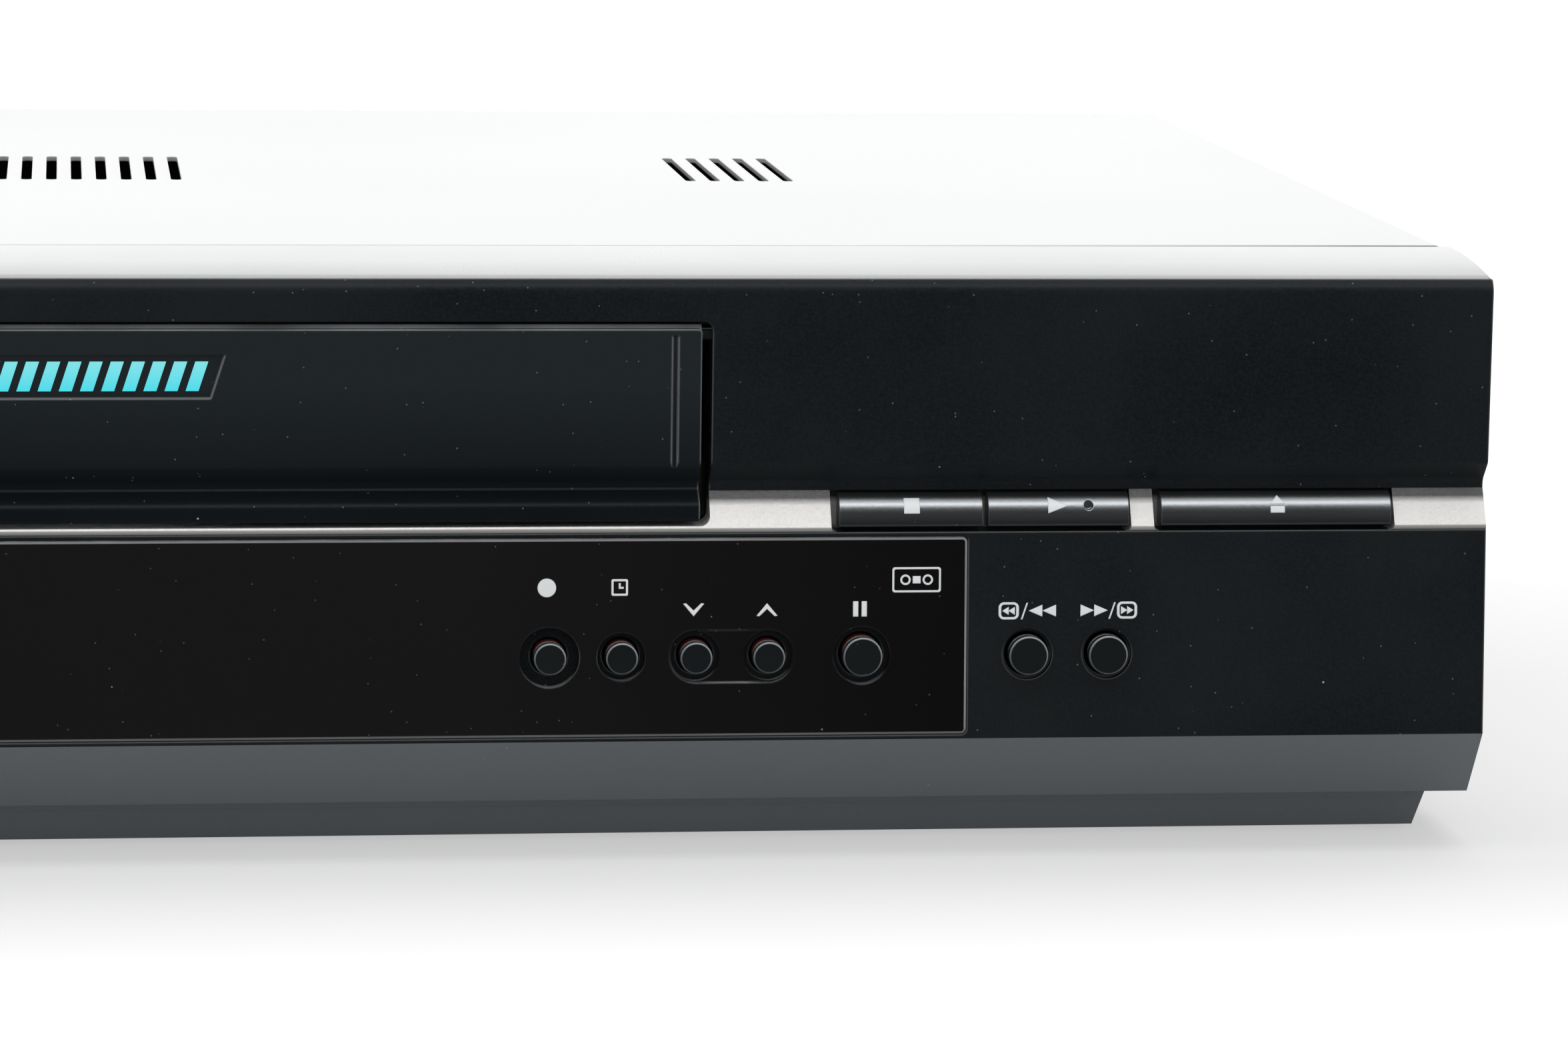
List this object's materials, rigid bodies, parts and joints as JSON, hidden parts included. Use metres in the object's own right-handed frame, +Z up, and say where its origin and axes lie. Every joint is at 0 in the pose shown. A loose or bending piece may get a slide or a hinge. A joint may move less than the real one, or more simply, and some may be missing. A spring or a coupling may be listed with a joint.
{
  "type": "video cassette recorder",
  "caption": "Full-width video cassette recorder with a sprung cassette flap, bar keys, smoked display window, cassette loader and helical-scan tape deck.",
  "frame": {"origin": "centre of the base, on the surface the feet stand on", "axes": "+X the viewer's right, -Y the front, +Z up"},
  "size_m": [0.43, 0.28, 0.09],
  "materials": {
    "cover_paint": "satin",
    "silver_trim": "satin",
    "silver_band": "satin",
    "black_case": "fine matt",
    "grey_case": "fine matt",
    "black_key": "satin",
    "smoked_window": "polished",
    "chassis_plastic": "matt",
    "rear_plastic": "matt",
    "rubber_black": "matt",
    "zinc_steel": "zinc plated",
    "spring_steel": "bright",
    "screw_black": "black",
    "drum_aluminium": "machined",
    "circuit_board": "matt",
    "chip_black": "matt",
    "tube_glass": "clear",
    "ribbon_plastic": "matt",
    "laminated_iron": "varnished",
    "can_aluminium": "sleeved",
    "tinned_can": "tinned",
    "socket_plastic": "matt",
    "gear_plastic": "matt",
    "reel_plastic": "matt",
    "head_metal": "polished"
  },
  "bodies": {
    "case": {"top_cover": "cover_paint", "front_bezel": "black_case", "top_trim": "silver_trim", "accent_band": "silver_band", "front_skirt": "grey_case", "base_chassis": "chassis_plastic", "rear_panel": "rear_plastic", "feet": "rubber_black", "cover_screws": "screw_black", "display_window": "smoked_window", "display_tube": "tube_glass", "front_board": "circuit_board", "front_av_jacks": "socket_plastic", "main_board": "circuit_board", "board_chips": "chip_black", "ribbon_cable": "ribbon_plastic", "power_board": "circuit_board", "transformer": "laminated_iron", "power_capacitors": "can_aluminium", "heat_sink": "drum_aluminium", "mains_inlet": "socket_plastic", "scart_sockets": "socket_plastic", "tuner_can": "tinned_can", "rear_av_jacks": "socket_plastic", "mechanism_deck": "zinc_steel", "guide_plate_left": "zinc_steel", "guide_plate_right": "zinc_steel", "loader_bridge": "zinc_steel", "lower_drum": "drum_aluminium", "erase_head": "head_metal", "audio_control_head": "head_metal", "capstan_motor": "zinc_steel", "loading_motor": "zinc_steel"},
    "flap": {"cassette_flap": "black_case", "flap_spring": "spring_steel"},
    "stop_key": {"stop_key": "black_key"},
    "play_key": {"play_key": "black_key"},
    "eject_key": {"eject_key": "black_key"},
    "power_key": {"power_key": "black_key"},
    "record_button": {"record_button": "black_key"},
    "timer_button": {"timer_button": "black_key"},
    "channel_down_button": {"channel_down_button": "black_key"},
    "channel_up_button": {"channel_up_button": "black_key"},
    "pause_button": {"pause_button": "black_key"},
    "rewind_button": {"rewind_button": "black_key"},
    "fast_forward_button": {"fast_forward_button": "black_key"},
    "loader_carriage": {"loader_carriage": "zinc_steel"},
    "cassette_basket": {"cassette_basket": "zinc_steel"},
    "upper_drum": {"upper_drum": "drum_aluminium"},
    "capstan_flywheel": {"capstan_flywheel": "zinc_steel"},
    "supply_reel": {"supply_reel": "reel_plastic"},
    "takeup_reel": {"takeup_reel": "reel_plastic"},
    "pinch_arm": {"pinch_arm": "zinc_steel"},
    "pinch_roller": {"pinch_roller": "rubber_black"},
    "idler_arm": {"idler_arm": "zinc_steel"},
    "idler_gear": {"idler_gear": "gear_plastic"},
    "tension_arm": {"tension_arm": "zinc_steel"},
    "supply_guide": {"supply_guide": "head_metal"},
    "takeup_guide": {"takeup_guide": "head_metal"},
    "loading_gear": {"loading_gear": "gear_plastic"}
  },
  "joints": [
    {"name": "stop_key_press", "type": "slide", "parent": "case", "child": "stop_key", "axis": [0, 1, 0], "range_m": [0, 0.0008], "stiffness_N_per_m": 300},
    {"name": "play_key_press", "type": "slide", "parent": "case", "child": "play_key", "axis": [0, 1, 0], "range_m": [0, 0.0008], "stiffness_N_per_m": 300},
    {"name": "eject_key_press", "type": "slide", "parent": "case", "child": "eject_key", "axis": [0, 1, 0], "range_m": [0, 0.0008], "stiffness_N_per_m": 300},
    {"name": "power_key_press", "type": "slide", "parent": "case", "child": "power_key", "axis": [0, 1, 0], "range_m": [0, 0.0008], "stiffness_N_per_m": 300},
    {"name": "record_button_press", "type": "slide", "parent": "case", "child": "record_button", "axis": [0, 1, 0], "range_m": [0, 0.001], "stiffness_N_per_m": 300},
    {"name": "timer_button_press", "type": "slide", "parent": "case", "child": "timer_button", "axis": [0, 1, 0], "range_m": [0, 0.001], "stiffness_N_per_m": 300},
    {"name": "channel_down_button_press", "type": "slide", "parent": "case", "child": "channel_down_button", "axis": [0, 1, 0], "range_m": [0, 0.001], "stiffness_N_per_m": 300},
    {"name": "channel_up_button_press", "type": "slide", "parent": "case", "child": "channel_up_button", "axis": [0, 1, 0], "range_m": [0, 0.001], "stiffness_N_per_m": 300},
    {"name": "pause_button_press", "type": "slide", "parent": "case", "child": "pause_button", "axis": [0, 1, 0], "range_m": [0, 0.001], "stiffness_N_per_m": 300},
    {"name": "rewind_button_press", "type": "slide", "parent": "case", "child": "rewind_button", "axis": [0, 1, 0], "range_m": [0, 0.001], "stiffness_N_per_m": 300},
    {"name": "fast_forward_button_press", "type": "slide", "parent": "case", "child": "fast_forward_button", "axis": [0, 1, 0], "range_m": [0, 0.001], "stiffness_N_per_m": 300},
    {"name": "flap_swing", "type": "hinge", "parent": "case", "child": "flap", "pos_m": [0, -0.13469, 0.0795], "axis": [-1, 0, 0], "range_deg": [-90, 0], "stiffness_Nm_per_rad": 0.004},
    {"name": "carriage_travel", "type": "slide", "parent": "case", "child": "loader_carriage", "axis": [0, 1, 0], "range_m": [0, 0.07]},
    {"name": "basket_drop", "type": "slide", "parent": "loader_carriage", "child": "cassette_basket", "axis": [0, 0, -1], "range_m": [0, 0.016]},
    {"name": "drum_spin", "type": "hinge", "parent": "case", "child": "upper_drum", "pos_m": [0, 0.04391, 0.026], "axis": [0, -0.0872, 0.9962], "continuous": true},
    {"name": "capstan_spin", "type": "hinge", "parent": "case", "child": "capstan_flywheel", "pos_m": [0.062, 0.00491, 0.024], "axis": [0, 0, 1], "continuous": true},
    {"name": "supply_reel_spin", "type": "hinge", "parent": "case", "child": "supply_reel", "pos_m": [-0.046, -0.05809, 0.024], "axis": [0, 0, 1], "continuous": true},
    {"name": "takeup_reel_spin", "type": "hinge", "parent": "case", "child": "takeup_reel", "pos_m": [0.046, -0.05809, 0.024], "axis": [0, 0, 1], "continuous": true},
    {"name": "pinch_arm_swing", "type": "hinge", "parent": "case", "child": "pinch_arm", "pos_m": [0.064, 0.03491, 0.024], "axis": [0, 0, -1], "range_deg": [0, 25]},
    {"name": "pinch_roller_spin", "type": "hinge", "parent": "pinch_arm", "child": "pinch_roller", "pos_m": [0.07349, 0.01455, 0.039], "axis": [0, 0, 1], "continuous": true},
    {"name": "idler_arm_swing", "type": "hinge", "parent": "case", "child": "idler_arm", "pos_m": [0, -0.08609, 0.024], "axis": [0, 0, 1], "range_deg": [-16, 16]},
    {"name": "idler_gear_spin", "type": "hinge", "parent": "idler_arm", "child": "idler_gear", "pos_m": [0, -0.04609, 0.0246], "axis": [0, 0, 1], "continuous": true},
    {"name": "tension_arm_swing", "type": "hinge", "parent": "case", "child": "tension_arm", "pos_m": [-0.078, 0.01491, 0.024], "axis": [0, 0, 1], "range_deg": [0, 35]},
    {"name": "supply_guide_load", "type": "slide", "parent": "case", "child": "supply_guide", "axis": [0, 1, 0], "range_m": [0, 0.066]},
    {"name": "takeup_guide_load", "type": "slide", "parent": "case", "child": "takeup_guide", "axis": [0, 1, 0], "range_m": [0, 0.066]},
    {"name": "loading_gear_turn", "type": "hinge", "parent": "case", "child": "loading_gear", "pos_m": [0.0898, 0.04491, 0.024], "axis": [0, 0, 1], "range_deg": [0, 300]}
  ],
  "couplings": [
    {"joint": "takeup_guide_load", "follows": "supply_guide_load", "ratio": 1},
    {"joint": "loading_gear_turn", "follows": "supply_guide_load", "rad_per_m": 79.3}
  ]
}
